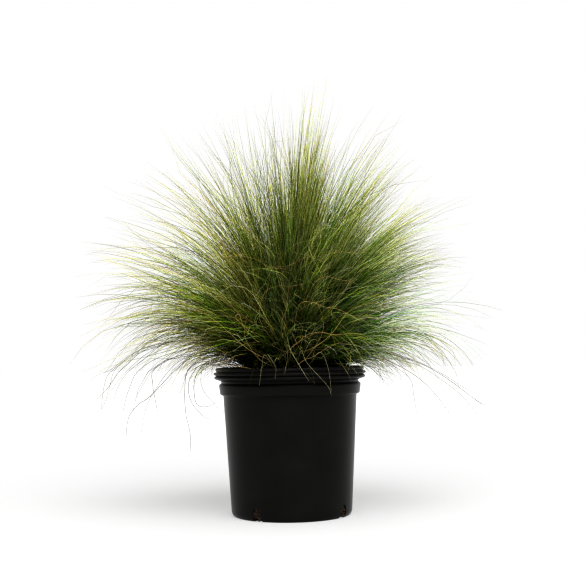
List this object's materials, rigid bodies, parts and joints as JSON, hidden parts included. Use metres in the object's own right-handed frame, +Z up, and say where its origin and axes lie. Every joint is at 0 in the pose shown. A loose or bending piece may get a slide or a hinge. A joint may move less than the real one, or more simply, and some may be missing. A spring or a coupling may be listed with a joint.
{
  "type": "mexican feather grass in nursery pot",
  "caption": "Fine-leaved ornamental bunch grass with thread-like arching blades, growing in a round black plastic nursery pot.",
  "frame": {"origin": "centre of the pot's foot, on the surface it stands on", "axes": "+Z up along the pot's axis; -Y is the side that faces the viewer, +X to the right"},
  "size_m": [0.4635, 0.4428, 0.4769],
  "materials": {
    "black_plastic": "satin injection-moulded black polypropylene, faint flow marks and dust",
    "potting_mix": "moist dark bark and peat potting mix, crumbly, with pale perlite grains",
    "green_blade": "fine rolled leaves, dark green at the crown, fresh green to pale yellow-green at the tips, slight sheen",
    "straw_blade": "dry leaves and stems, straw to golden tan, matt"
  },
  "bodies": {
    "root": {"nursery_pot": "black_plastic", "root_ball": "potting_mix", "tuft_centre": "green_blade", "tuft_inner_1": "green_blade", "tuft_inner_2": "green_blade", "tuft_inner_3": "green_blade", "tuft_inner_4": "green_blade", "tuft_inner_5": "green_blade", "tuft_inner_6": "green_blade", "tuft_middle_1": "green_blade", "tuft_middle_2": "green_blade", "tuft_middle_3": "green_blade", "tuft_middle_4": "green_blade", "tuft_middle_5": "green_blade", "tuft_middle_6": "green_blade", "tuft_middle_7": "green_blade", "tuft_middle_8": "green_blade", "tuft_middle_9": "green_blade", "tuft_middle_10": "green_blade", "tuft_outer_1": "green_blade", "tuft_outer_2": "green_blade", "tuft_outer_3": "green_blade", "tuft_outer_4": "green_blade", "tuft_outer_5": "green_blade", "tuft_outer_6": "green_blade", "tuft_outer_7": "green_blade", "tuft_outer_8": "green_blade", "tuft_outer_9": "green_blade", "tuft_outer_10": "green_blade", "tuft_outer_11": "green_blade", "tuft_outer_12": "green_blade", "tuft_outer_13": "green_blade", "tuft_outer_14": "green_blade", "straw_bunch_1": "straw_blade", "straw_bunch_2": "straw_blade", "straw_bunch_3": "straw_blade", "straw_bunch_4": "straw_blade", "straw_bunch_5": "straw_blade", "straw_bunch_6": "straw_blade", "straw_bunch_7": "straw_blade"}
  },
  "joints": []
}
